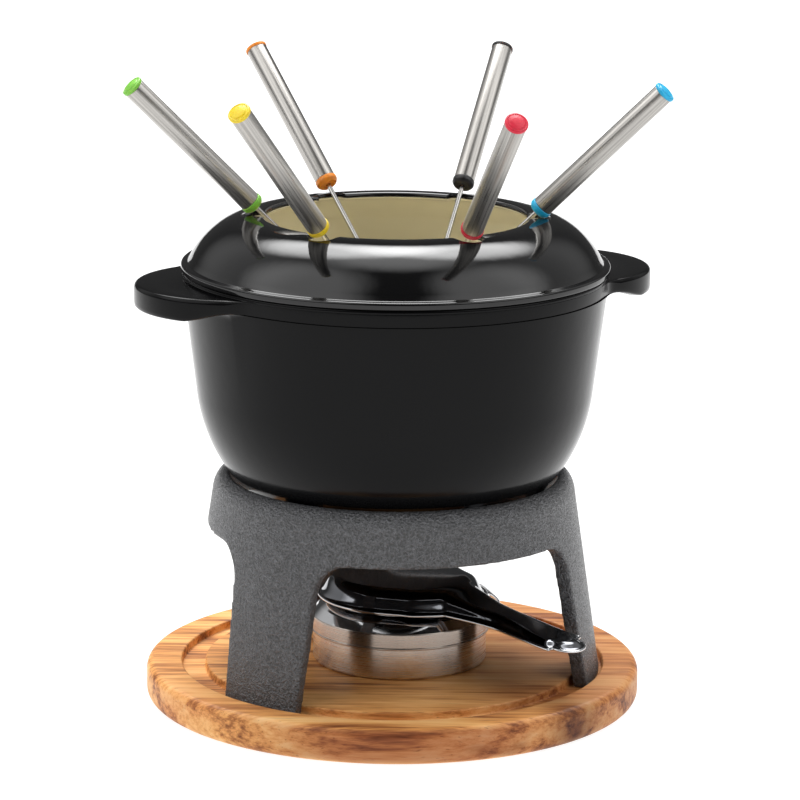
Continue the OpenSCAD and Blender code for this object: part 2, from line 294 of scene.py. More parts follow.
def cast_iron(name):
    """Matt dark casting with a fine pebbled skin, its colour lighter on the high spots and darker in
    the hollows: partly the grain's own tone, partly painted glints and painted shade.
    """
    look = Look(name, specular_ior_level=1.0)
    spot = look.place()
    pebble = look.noise(spot, 1000.0, 2.0, 0.6)
    coarse = look.noise(spot, 520.0, 2.0, 0.5)
    grain = look.math("ADD", look.math("MULTIPLY", pebble, 0.7), look.math("MULTIPLY", coarse, 0.3))
    tone = look.remap(grain, 0.42, 0.60, 0.0, 1.0)
    cloud = look.noise(spot, 18.0, 3.0)
    # painted glints and shade: the colour follows the bump's grain, lighter on the high spots, darker
    # in the hollows
    base = look.mix(tone, (0.009, 0.0094, 0.0108), (0.098, 0.100, 0.109))
    share = look.remap(cloud, 0.3, 0.7, 0.0, 0.25)
    look.set(base_color=look.mix(share, base, (0.035, 0.036, 0.040)))
    look.set(roughness=look.remap(grain, 0.40, 0.60, 0.42, 0.25))
    look.set(normal=look.bump(grain, 0.0024, 1.0))
    return look.material


def acacia(name):
    """Oiled acacia: warm flowing grain along the board, dark streaks, pores and one knot."""
    look = Look(name, specular_ior_level=0.26)
    grain_turn = 23.0
    along = look.place(turn=(0, 0, grain_turn))
    x = look.add("SeparateXYZ", 0, Vector=along)
    y = look.add("SeparateXYZ", 1, Vector=along)
    z = look.add("SeparateXYZ", 2, Vector=along)

    def stretched(fx, fy, fz, shift=0.0):
        return look.add("CombineXYZ", X=look.math("MULTIPLY_ADD", x, fx, shift),
                        Y=look.math("MULTIPLY", y, fy), Z=look.math("MULTIPLY", z, fz))

    def knot(px, py, pz, size):
        away = look.add("VectorMath", "Value", props={"operation": "DISTANCE"},
                        i0=along, i1=(px, py, pz))
        return look.remap(away, 0.0, size, 1.0, 0.0)

    wander = look.noise(stretched(5.0, 16.0, 16.0), 1.0, 3.0, 0.5)
    eye = knot(0.083, -0.080, 0.006, 0.026)
    bent = look.math("MULTIPLY", look.math("POWER", eye, 2.0), 2.6)
    # growth rings: distance from a pith line below the board, pushed about by the noise
    rise = look.math("ADD", z, 0.045)
    side = look.math("ADD", look.math("ADD", y, look.math("MULTIPLY", x, 0.22)), 0.035)
    ring_r = look.math("SQRT", look.math("ADD", look.math("MULTIPLY", rise, rise),
                                         look.math("MULTIPLY", side, side)))
    phase = look.math("ADD", look.math("MULTIPLY", ring_r, 95.0),
                      look.math("MULTIPLY", wander, 4.5))
    phase = look.math("ADD", phase, bent)
    wave = look.math("PINGPONG", phase, 1.0)
    fibres = look.noise(stretched(30.0, 430.0, 560.0), 1.0, 3.0, 0.65)
    streak = look.noise(stretched(6.0, 190.0, 190.0, 3.0), 1.0, 5.0, 0.66)
    tone = look.math("MULTIPLY_ADD", streak, 1.20, look.math("MULTIPLY_ADD", wave, 0.36, -0.19))
    thread = look.math("SUBTRACT", fibres, 0.5)
    tone = look.math("ADD", tone, look.math("MULTIPLY", thread, 0.75))
    colour = look.ramp(tone,
                       (0.20, (0.165, 0.050, 0.014)),
                       (0.38, (0.410, 0.148, 0.041)),
                       (0.56, (0.740, 0.330, 0.098)),
                       (0.74, (0.880, 0.465, 0.165)),
                       (0.95, (0.940, 0.570, 0.240)))
    broad = look.noise(stretched(4.0, 13.0, 13.0, 7.3), 1.0, 2.0, 0.5)
    broad = look.remap(broad, 0.52, 0.72, 0.0, 0.62)
    colour = look.mix(broad, colour, (0.70, 0.38, 0.26), "MULTIPLY")
    dark = look.noise(stretched(9.0, 42.0, 42.0, 11.0), 1.0, 3.0, 0.55)
    dark = look.remap(dark, 0.60, 0.76, 0.0, 0.75)
    colour = look.mix(dark, colour, (0.30, 0.17, 0.10), "MULTIPLY")
    colour = look.mix(look.math("POWER", eye, 1.4), colour, (0.16, 0.07, 0.035), "MULTIPLY")
    # heartwood: the right-hand side of the top
    right_part = look.math("MULTIPLY", look.remap(x, 0.015, 0.055, 0.0, 0.75),
                           look.remap(y, -0.095, -0.065, 0.0, 1.0))
    colour = look.mix(right_part, colour, (0.50, 0.38, 0.36), "MULTIPLY")
    # painted shade: the middle of the rim's front and back is darkened and reddened, the side edge
    # shaded below the lit top
    radius = look.math("SQRT", look.math("ADD", look.math("MULTIPLY", x, x),
                                         look.math("MULTIPLY", y, y)))
    off_middle = look.math("ABSOLUTE", look.math("SUBTRACT", x, 0.01))
    edge_from, edge_to = (BOARD_R - 2.5) * MM, (BOARD_R - 0.5) * MM
    rim_shade = look.math("MULTIPLY", look.remap(radius, edge_from, edge_to, 0.0, 1.0),
                         look.remap(off_middle, 0.035, 0.085, 1.0, 0.0))
    colour = look.mix(rim_shade, colour, (0.60, 0.46, 0.48), "MULTIPLY")
    pore_field = look.noise(stretched(60.0, 1500.0, 1500.0, 5.0), 1.0, 2.0, 0.5)
    pores = look.remap(pore_field, 0.64, 0.74, 0.0, 1.0)
    colour = look.mix(look.math("MULTIPLY", pores, 0.55), colour, (0.25, 0.13, 0.07), "MULTIPLY")
    look.set(base_color=colour)
    look.set(roughness=look.remap(streak, 0.3, 0.7, 0.52, 0.40))
    fine = look.bump(look.math("SUBTRACT", fibres, pores), 0.00035, 0.35)
    look.set(normal=look.bump(streak, 0.0006, 0.25, under=fine))
    return look.material


def brushed(name, colour, rough, round_lines, anisotropic, spread=0.6):
    """Brushed stainless steel. Its fine lines run round the piece or along it."""
    look = Look(name, metallic=1.0, anisotropic=anisotropic, anisotropic_rotation=0.25)
    if round_lines:
        fine, broad, relief = (60.0, 60.0, 9000.0), (25.0, 25.0, 2600.0), 0.08
    else:
        fine, broad, relief = (5200.0, 5200.0, 30.0), (1100.0, 1100.0, 5.0), 0.25
    scratch = look.noise(look.place(scale=fine), 1.0, 3.0, 0.6)
    streak = look.noise(look.place(scale=broad), 1.0, 3.0, 0.6)
    cloud = look.noise(look.place(), 45.0, 3.0)
    lines = look.math("ADD", look.math("MULTIPLY", scratch, 0.45),
                      look.math("MULTIPLY", streak, 0.55))
    dark = tuple(c * spread for c in colour)
    look.set(base_color=look.mix(look.remap(lines, 0.36, 0.60, 0.0, 1.0), dark, colour))
    worn = look.math("ADD", look.math("MULTIPLY", lines, 0.20), look.math("MULTIPLY", cloud, 0.10))
    look.set(roughness=look.math("ADD", worn, rough - 0.15))
    look.set(normal=look.bump(scratch, 0.00003, relief))
    look.set(tangent=look.add("Tangent", props={"direction_type": "RADIAL", "axis": "Z"}))
    return look.material


def polished(name, colour, rough):
    """Bright pressed sheet: mirror smooth with a few soft waves and hairline scratches."""
    look = Look(name, metallic=1.0)
    spot = look.place()
    haze = look.noise(spot, 60.0, 4.0)
    bright = look.remap(haze, 0.3, 0.7, 0.0, 1.0)
    look.set(base_color=look.mix(bright, tuple(c * 0.93 for c in colour), colour))
    look.set(roughness=look.remap(haze, 0.3, 0.7, rough, rough + 0.06))
    hair = look.noise(look.place(turn=(0, 0, 35), scale=(3000.0, 60.0, 60.0)), 1.0, 2.0)
    look.set(normal=look.bump(look.noise(spot, 70.0, 1.0), 0.0003, 0.12,
                              under=look.bump(hair, 0.00002, 0.12)))
    return look.material


def moulded(name, colour):
    """Moulded plastic with a soft sheen, faint mottling and a lightly grained face."""
    look = Look(name, specular_ior_level=0.45)
    spot = look.place()
    mottle = look.noise(spot, 260.0, 3.0)
    paler = look.remap(mottle, 0.35, 0.65, 0.0, 1.0)
    look.set(base_color=look.mix(paler, tuple(c * 0.84 for c in colour), colour))
    look.set(roughness=look.remap(mottle, 0.3, 0.7, 0.30, 0.44))
    look.set(normal=look.bump(look.noise(spot, 900.0, 2.0), 0.0001, 0.35))
    look.set(subsurface_weight=0.08)
    return look.material


def felt(name):
    """Loose white absorbent fibre."""
    look = Look(name, roughness=0.95, sheen_weight=0.3)
    fibre = look.noise(look.place(), 900.0, 5.0, 0.7, 1.5)
    look.set(base_color=look.ramp(fibre, (0.3, (0.52, 0.50, 0.46)), (0.7, (0.86, 0.84, 0.79))))
    look.set(normal=look.bump(fibre, 0.0012, 0.8))
    return look.material


PLASTIC = {
    "blue": (0.010, 0.420, 0.720),
    "black": (0.012, 0.012, 0.013),
    "orange": (0.900, 0.270, 0.022),
    "green": (0.210, 0.560, 0.055),
    "yellow": (0.900, 0.640, 0.020),
    "red": (0.720, 0.018, 0.050),
}
WOOD = acacia("oiled_acacia")
IRON = cast_iron("pebbled_iron")
BLACK = enamel("black_enamel", (0.0040, 0.0040, 0.0043), 0.46, 0.05, 0.10)
POT_BLACK = enamel("pot_black_enamel", (0.0032, 0.0032, 0.0035), 0.12, 0.10, 0.17)
CREAM = enamel("cream_enamel", (0.930, 0.870, 0.680), 0.45, 0.16, 0.26)
TUBE = brushed("brushed_tube", (0.56, 0.54, 0.51), 0.30, False, 0.75, 0.52)
WIRE = polished("drawn_wire", (0.50, 0.49, 0.47), 0.20)
CUP = brushed("brushed_cup", (0.70, 0.655, 0.61), 0.27, True, 0.75, 0.90)
BAND = brushed("brushed_band", (0.50, 0.44, 0.39), 0.27, True, 0.75, 0.90)
# painted shade: a darker copy of the mirror steel on the next line, for the snuffer lid, so that its
# reflections read dark
SHADED_MIRROR = polished("shaded_mirror_steel", (0.20, 0.205, 0.22), 0.035)
MIRROR = polished("mirror_steel", (0.66, 0.665, 0.675), 0.045)
# painted light: a satin steel for the regulator's tab, lighter than its ring's mirror steel so that
# the tab reads light
LIT_SATIN = polished("lit_satin_steel", (0.86, 0.86, 0.88), 0.24)
GAUZE = brushed("gauze_steel", (0.52, 0.51, 0.50), 0.38, False, 0.2)
FELT = felt("white_felt")
CAPS = {c: moulded(c + "_plastic_look", PLASTIC[c]) for c in COLOURS}

# ---------------------------------------------------------------- board and stand


def make_board():
    outline = rounded([
        (0, 0), (BOARD_R, 0, 4.5), (BOARD_R, BOARD_T, 4.0), (GROOVE_OUT, BOARD_T, 0.9),
        (GROOVE_OUT, FLOOR_Z, 0.9), (GROOVE_IN, FLOOR_Z, 0.9), (GROOVE_IN, BOARD_T, 0.9),
        (0, BOARD_T)], 7)
    mesh = lathe("board_wood", outline, 320)
    new_piece("board_wood", mesh, "board", "acacia", ["wood_board"], WOOD)


def arch_edge(turn):
    """Height of the stand's lower edge at an angle from the middle of a leg, in degrees."""
    mid, side_lean, corner = 47.0, 0.0535, 10.3
    spring = ARCH_TOP - ARCH_CORNER
    off = abs((turn + 60.0) % 120.0 - 60.0)
    low_off = LEG_HALF + side_lean * (FLOOR_Z - mid)
    spring_off = LEG_HALF + side_lean * (spring - mid)
    if off <= low_off:
        return FLOOR_Z
    if off <= spring_off:
        return FLOOR_Z + (off - low_off) / side_lean
    if off <= spring_off + corner:
        q = 1 - (off - spring_off) / corner
        return spring + ARCH_CORNER * math.sqrt(1 - q * q)
    return ARCH_TOP


def stand_turns():
    """Angles about one leg: close together where the edge is steep."""
    fine = np.linspace(12.0, 17.5, 70)
    corner = np.linspace(17.6, 26.5, 30)
    half = np.concatenate([np.linspace(0, 11.5, 10), fine, corner, np.linspace(27.5, 60, 24)])
    return np.concatenate([half, 120 - half[-2:0:-1]])


def make_stand():
    shoulder, shoulder_drop = 6.5, 10.0
    lean = math.degrees(math.atan(LEAN))
    cz = RING_TOP - shoulder_drop
    cr = FOOT_R - LEAN * (cz - FLOOR_Z) - shoulder / math.cos(math.radians(lean))
    inner_r = cr + 0.3
    step_z = FLOOR_Z + (FOOT_R - STAND_WALL - inner_r) / LEAN
    top = arc(cr, cz, shoulder, shoulder_drop, lean, 87, 10)
    columns = []
    for leg in range(3):
        for turn in stand_turns():
            low = arch_edge(turn)
            zs = np.linspace(low, cz, 26, endpoint=False)
            outer = [(FOOT_R - LEAN * (z - FLOOR_Z), z) for z in zs]
            down = [(min(inner_r, FOOT_R - STAND_WALL - LEAN * (z - FLOOR_Z)) if z > step_z else
                     FOOT_R - STAND_WALL - LEAN * (z - FLOOR_Z), z)
                    for z in np.linspace(RING_TOP - 0.4, low, 26)]
            a = math.radians(LEG_TURN + leg * 120 + turn)
            columns.append(at_turn(outer + top + down, a))
    verts, faces = [], []

    def add_part(points, wrap_u, caps):
        points = np.asarray(points, float)
        nu, nv = points.shape[:2]
        base = len(verts)
        verts.extend(points.reshape(-1, 3))
        for u in range(nu if wrap_u else nu - 1):
            for v in range(nv):
                u1, v1 = (u + 1) % nu, (v + 1) % nv
                corners = (u * nv + v, u1 * nv + v, u1 * nv + v1, u * nv + v1)
                faces.append(tuple(base + k for k in corners))
        if caps:
            faces.append(tuple(base + v for v in range(nv)))
            faces.append(tuple(base + (nu - 1) * nv + v for v in range(nv)))

    add_part(columns, True, False)
    bracket = [(60, POT_BASE), (60, POT_BASE - 4), (73, POT_BASE - 8), (80.5, POT_BASE - 13),
               (80.5, POT_BASE)]
    for leg in range(3):
        turns = np.radians(LEG_TURN + leg * 120 + np.linspace(-8, 8, 9))
        add_part([at_turn(bracket, a) for a in turns], False, True)
    mesh = finish_mesh("stand_casting", verts, faces)
    piece = new_piece("stand_casting", mesh, "stand", "stand_iron", ["stand"], IRON)
    remesh = piece.modifiers.new("cast", "REMESH")
    remesh.mode = "VOXEL"
    remesh.voxel_size = 0.0010
    remesh.use_smooth_shade = True
    soften = piece.modifiers.new("soften", "SMOOTH")
    soften.factor = 0.5
    soften.iterations = 9
    bake_modifiers(piece)


# ---------------------------------------------------------------- pot and guard


def pot_columns():
    belly_c, belly_r, belly_top = (12.0, 155.3), 80.0, -5.9
    band_r, root, blend = 97.7, 96.75, 5.0
    turns = np.radians(np.linspace(-90, 270, 720, endpoint=False))

    def ear_radius(t):
        t = abs((t + math.pi / 2) % math.pi - math.pi / 2)
        inside = EAR_R ** 2 - (EAR_REACH * math.sin(t)) ** 2
        ear = EAR_REACH * math.cos(t) + math.sqrt(inside) if inside > 0 else 0.0
        both = 0.5 * (ear + band_r + math.sqrt((ear - band_r) ** 2 + blend ** 2))
        return max(band_r, both - 0.27)

    low = -math.degrees(math.asin((belly_c[1] - POT_BASE - 0.6) / belly_r))
    outside = [(0, POT_BASE + 1), (55.4, POT_BASE + 1), (56, POT_BASE + 0.6), (56.6, POT_BASE),
               (65.2, POT_BASE), (66.3, POT_BASE + 0.25)]
    outside += arc(*belly_c, belly_r, belly_r, low, belly_top, 30)
    wall_r, wall_z = outside[-1]
    inside_low = -math.degrees(math.asin((belly_c[1] - POT_BASE - 6.5) / (belly_r - POT_WALL)))
    inside = [(POT_R - 2.0, POT_RIM), (POT_R - 3.2, POT_RIM - 0.25), (POT_R - 3.9, POT_RIM - 1.0),
              (POT_R - POT_WALL, POT_RIM - 2.2), (POT_R - POT_WALL - 0.1, POT_RIM - 6),
              (POT_R - POT_WALL - 0.7, POT_RIM - 9)]
    inner_belly = arc(*belly_c, belly_r - POT_WALL, belly_r - POT_WALL, belly_top, inside_low, 26)
    inside += inner_belly
    last_r, last_z = inner_belly[-1]
    inside += [(last_r - 1.6, last_z - 0.9), (last_r - 4.5, POT_BASE + 5.05), (30, POT_BASE + 5),
               (0, POT_BASE + 5)]
    under = EAR_TOP - EAR_T
    columns = []
    for t in turns:
        reach = ear_radius(t)
        out = reach - band_r
        side = abs(reach * math.sin(t))
        lip = 4.6 * float(smoothstep(-side, -45, -30)) * float(smoothstep(out, 1.0, 6.0))
        lip_t = min(5.0, 0.45 * out + 0.2)
        fillet = min(5.0, 0.3 + 0.6 * out)
        edge = min(2.2, 0.25 + 0.35 * out)
        ring = [(wall_r + (root - wall_r) * k, wall_z + (under - fillet - wall_z) * k)
                for k in np.linspace(0.08, 1, 14)]
        ring += arc(root + fillet, under - fillet, fillet, fillet, 180, 92, 7)
        inner = max(root + fillet + 0.05, reach - lip_t - 1.2)
        ring += [(inner, under), (inner + 0.55, under - 0.25 * lip), (inner + 0.9, under - 0.7 * lip)]
        ring += [(inner + 1.3, under - lip), (reach - 0.42 * edge, under - lip)]
        ring += [(reach - 0.1 * edge, under - lip + 0.3 * edge), (reach, under - lip + edge)]
        ring += arc(reach - edge, EAR_TOP - edge, edge, edge, 4, 90, 6)
        back = band_r + min(1.1, 0.5 * out)
        ring += [(back + 0.62 * (reach - edge - back), EAR_TOP), (back, EAR_TOP)]
        ring += [(band_r + 0.3 * (back - band_r), EAR_TOP + 0.25), (band_r, EAR_TOP + 0.6)]
        ring += arc(band_r - 1.3, POT_RIM - 1.3, 1.3, 1.3, 0, 90, 4)
        a = t + math.radians(EAR_TURN)
        columns.append(at_turn(outside + ring + inside, a))
    cream_from = len(outside) + len(ring) + 2
    return columns, cream_from


def make_pot():
    columns, cream_from = pot_columns()
    mesh = grid("pot_shell", columns, tag=lambda u, v: 1 if v >= cream_from else 0)
    new_piece("pot_shell", mesh, "pot", "pot_enamel", ["pot"], [POT_BLACK, CREAM])


def notch_depth(turn):
    """Radius of the guard's inner edge at an angle, in degrees: six round-ended notches."""
    off = abs((turn - NOTCH_TURN + 30) % 60 - 30)
    half = NOTCH_W / 2
    across = math.radians(off) * 66.0
    deep = NOTCH_END - half + math.sqrt(max(0.0, half ** 2 - min(across, half) ** 2))
    share = float(smoothstep(-across, -(half + 1.1), -(half - 0.7)))
    return OPENING_R + (deep - OPENING_R) * share


def make_guard():
    dome_r, dome_z, rx = CROWN_R, 185.9, 35.5
    ry = CROWN_Z - dome_z
    wall, lip = 3.2, 1.9
    flange_r, spigot_r, spigot_low = 98.6, POT_R - POT_WALL - 0.7, POT_RIM - 3.5
    near = np.concatenate([np.linspace(-30, -9, 12, endpoint=False),
                           np.linspace(-9, 9, 96, endpoint=False),
                           np.linspace(9, 30, 12, endpoint=False)])
    turns = np.concatenate([NOTCH_TURN + 60 * i + near for i in range(6)])
    foot = rounded([(87.0, POT_RIM), (spigot_r - 2.8, spigot_low, 0.6), (spigot_r, spigot_low, 0.6),
                    (spigot_r, POT_RIM, 0.3), (flange_r, POT_RIM, 0.8),
                    (flange_r, POT_RIM + 3.2, 1.1), (95.6, POT_RIM + 3.5, 1.2),
                    (94.3, POT_RIM + 4.9)], 4)[1:-1]

    def outer_z(r):
        if r < dome_r:
            return CROWN_Z - 0.012 * (dome_r - r) ** 2
        return dome_z + ry * math.sqrt(max(0.0, 1 - ((r - dome_r) / rx) ** 2))

    def inner_z(r):
        q = (r - dome_r) / (rx - wall)
        return dome_z + (ry - wall) * math.sqrt(max(0.0, 1 - q * q))

    low_r = dome_r + rx * math.cos(math.radians(33))
    inner_end = spigot_r - 2.8
    # closer together towards the rolled inner edge
    rise = 1 - (1 - np.linspace(0, 1, 34)) ** 1.35
    columns = []
    for turn in turns:
        edge_r = notch_depth(turn)
        a = math.radians(turn)
        radii = low_r + (edge_r + lip - low_r) * rise
        outer = [(r, outer_z(r)) for r in radii]
        top_z, under_r = outer_z(edge_r + lip), edge_r + lip
        under_z = inner_z(under_r + 0.4) - 0.2
        mid_z = 0.5 * (top_z + under_z)
        turned = [(edge_r + lip - lip * math.sin(math.radians(b)),
                   mid_z + (top_z - mid_z) * math.cos(math.radians(b)))
                  for b in range(15, 180, 15)]
        back = [(r, inner_z(r)) for r in under_r + 0.4 + (inner_end - under_r - 0.4)
                * np.linspace(0, 1, 26) ** 0.85]
        columns.append(at_turn(foot + outer + turned + back, a))
    cream_from = len(foot) + len(outer) + 6
    count = len(columns[0])
    mesh = grid("guard_shell", columns, wrap_v=True,
                tag=lambda u, v: 1 if cream_from <= v < count else 0)
    new_piece("guard_shell", mesh, "fork_guard", "guard_enamel", ["fork_guard"], [BLACK, CREAM])


# ---------------------------------------------------------------- forks


def fork_matrix(colour):
    """The fork's own frame: origin at the lower end of its tube, +Z along the tube."""
    joint = next(j for j in frame["joints"] if j["name"] == f"fork_{colour}_slide")
    axis = Vector(joint["axis"]).normalized()
    low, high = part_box(f"fork_{colour}_handle")
    start = (low + high) / 2 - axis * HANDLE_L / 2 * MM
    turn = axis.to_track_quat("Z", "Y").to_matrix().to_4x4()
    return Matrix.Translation(start) @ turn


def make_forks():
    r, plug_r, shaft_r = HANDLE_D / 2, HANDLE_D / 2 - 0.6, 1.15
    rim = COLLAR_D / 2
    tube = rounded([
        (plug_r + 0.02, 0.2), (r, 0.0, 0.25), (r, HANDLE_L, 0.25), (plug_r + 0.02, HANDLE_L)], 3)
    collar = rounded([
        (shaft_r, -COLLAR_T + 0.5), (shaft_r + 0.9, -COLLAR_T, 0.4), (rim - 1.2, -COLLAR_T, 1.2),
        (rim, -COLLAR_T + 1.6, 1.2), (rim, 0.0, 0.35), (plug_r, 0.0), (plug_r, 4.0),
        (shaft_r, 4.0)], 5)
    top = HANDLE_L + 1.4
    cap = rounded([
        (0, HANDLE_L - 4), (plug_r, HANDLE_L - 4), (plug_r, HANDLE_L), (rim, HANDLE_L, 0.3),
        (rim, top, 0.45), (rim - 0.8, top + 0.3, 0.2), (rim - 1.0, top + 0.1, 0.1),
        (rim - 1.3, top + 0.15, 0.1), (rim - 1.7, top + 0.6, 0.4), (rim - 3.2, top + 0.95, 0.8),
        (0, top + 1.1)], 4)
    for colour in COLOURS:
        place = fork_matrix(colour)
        body = "fork_" + colour
        parts = (("tube", tube, "handle", "brushed_tube", TUBE),
                 ("ferrule", collar, "collar", colour + "_plastic", CAPS[colour]),
                 ("end", cap, "cap", colour + "_plastic", CAPS[colour]))
        for part, outline, node, slot, look in parts:
            name, replaced = f"{body}_{part}", f"{body}_{node}"
            mesh = lathe(name, outline, 64)
            crease_by_angle(mesh, 50)
            new_piece(name, mesh, body, slot, [replaced], look, place)
        shaft = frame["nodes"][f"{body}_shaft"]
        shaft.data.materials.clear()
        shaft.data.materials.append(WIRE)


# ---------------------------------------------------------------- burner


def make_burner_cup():
    wall = 0.8
    outline = rounded([
        (0, BOARD_T), (CUP_R, BOARD_T, 1.6), (CUP_R, CUP_TOP, 0.3), (CUP_R - wall, CUP_TOP, 0.3),
        (CUP_R - wall, BOARD_T + wall, 0.8), (0, BOARD_T + wall)], 5)
    mesh = lathe("cup_shell", outline, 192)
    new_piece("cup_shell", mesh, "burner", "cup_steel", ["burner_cup"], CUP, burner_place())


def make_burner_cover():
    wall, low, seam = 0.9, BOARD_T + 14.5, BOARD_T + 22
    outer = CUP_R + 1.0
    outline = rounded([
        (outer - wall, low), (outer + 0.35, low, 0.3), (outer + 0.35, low + 0.9, 0.3),
        (outer, low + 1.1, 0.3), (outer, seam, 1.2), (outer - 3.6, seam + 4.2, 3.0),
        (MOUTH_R + 6.0, COVER_TOP, 3.0), (MOUTH_R, COVER_TOP, 0.4),
        (MOUTH_R, COVER_TOP - wall, 0.3), (MOUTH_R + 5.6, COVER_TOP - wall, 3.0),
        (outer - 4.4, seam + 3.6, 3.0), (outer - wall, seam - 0.4, 1.2)], 6)
    band_z = seam + 0.4

    def tag(v):
        a, b = outline[v], outline[(v + 1) % len(outline)]
        return 0 if max(a[1], b[1]) <= band_z else 1

    mesh = lathe("cover_shell", outline, 192, closed=True, tag=tag)
    crease_by_angle(mesh, 55)
    new_piece("cover_shell", mesh, "burner", "cover_steel", ["burner_cover"], [BAND, MIRROR],
              burner_place())


def make_regulator():
    """The turning ring, and its finger tab that curls down beside the cover."""
    t, ring_out, ring_in = 1.0, 34.3, 26.0
    ring = rounded([(ring_in, COVER_TOP), (ring_out, COVER_TOP, 0.3),
                    (ring_out, COVER_TOP + t, 0.3), (ring_in, COVER_TOP + t, 0.3),
                    (ring_in, COVER_TOP)], 3)[:-1]
    place = burner_place(TAB_TURN)
    mesh = lathe("regulator_ring", ring, 128, closed=True)
    new_piece("regulator_ring", mesh, "regulator", "cover_steel", ["burner_regulator"], MIRROR,
              place)
    curl_r, curl_x = 9.5, 38.0
    route = [(x, COVER_TOP + t / 2) for x in np.linspace(31, curl_x, 5)]
    route += arc(curl_x, COVER_TOP + t - curl_r, curl_r - t / 2, curl_r - t / 2, 86, 0, 16)
    rows = []
    for i, (x, z) in enumerate(route):
        a, b = route[max(0, i - 1)], route[min(len(route) - 1, i + 1)]
        along = np.array([b[0] - a[0], b[1] - a[1]])
        along = along / np.linalg.norm(along)
        across = np.array([-along[1], along[0]])
        left = (len(route) - 1 - i) / 6.0
        w = TAB_HALF * math.sqrt(max(0.12, 1 - max(0.0, 1 - left) ** 2))
        section = rounded([(-w, -t / 2), (w, -t / 2, 0.35), (w, t / 2, 0.35), (-w, t / 2, 0.35),
                           (-w, -t / 2)], 3)[:-1]
        rows.append([(x + across[0] * h, y, z + across[1] * h) for y, h in section])
    mesh = grid("regulator_tab", rows, wrap_u=False, wrap_v=True, caps=True)
    crease_by_angle(mesh, 50)
    # the tab takes the lighter satin steel: painted light
    new_piece("regulator_tab", mesh, "regulator", "cover_steel", [], LIT_SATIN, place)


def lid_half_width(x):
    """Half width of the lid's outline seen from above, at a distance along the handle."""
    neck_half = 7.3
    tip_x = LID_REACH - LID_TIP_R
    if x > tip_x:
        return math.sqrt(max(0.0, LID_TIP_R ** 2 - (x - tip_x) ** 2))
    disc = math.sqrt(max(0.0, LID_R ** 2 - x * x))
    if x <= 15:
        return disc
    neck = neck_half + (LID_TIP_R - neck_half) * float(smoothstep(x, 60, 92))
    neck += 9.0 * float(smoothstep(-x, -66, -24))
    blend = 13.0 * float(smoothstep(x, 15, 30))
    return 0.5 * (disc + neck + math.sqrt((disc - neck) ** 2 + blend ** 2))


def lid_outline():
    """The lid's rim seen from above, as a ring of close points."""
    turns = np.radians(np.linspace(180, 68, 110))
    upper = [(LID_R * math.cos(t), LID_R * math.sin(t)) for t in turns]
    tip_x = LID_REACH - LID_TIP_R
    xs = np.concatenate([np.linspace(upper[-1][0], tip_x, 170)[1:],
                         tip_x + LID_TIP_R * np.sin(np.radians(np.linspace(4, 90, 24)))])
    upper += [(x, lid_half_width(x)) for x in xs]
    return np.array(upper + [(x, -y) for x, y in upper[-2:0:-1]])


def lid_rim_z(x):
    """Height of the flat rim: level round the disc, then sloping down the handle."""
    slope, bend_x, bend = 0.137, 33.0, 180.0
    past = x - bend_x
    return LID_Z - slope * (np.sqrt(past * past + bend) + past) / 2


def nearest_on_ring(points, ring):
    """For each point, the nearest place on a closed ring of straight pieces, and how far it is."""
    step = np.roll(ring, -1, axis=0) - ring
    length = (step ** 2).sum(1)
    spots, gaps = [], []
    for some in np.array_split(points, 16):
        share = ((some[:, None] - ring[None]) * step[None]).sum(2) / length[None]
        near = ring[None] + np.clip(share, 0, 1)[..., None] * step[None]
        gap = np.linalg.norm(some[:, None] - near, axis=2)
        best = gap.argmin(axis=1)
        rows = np.arange(len(some))
        spots.append(near[rows, best])
        gaps.append(gap[rows, best])
    return np.concatenate(spots), np.concatenate(gaps)


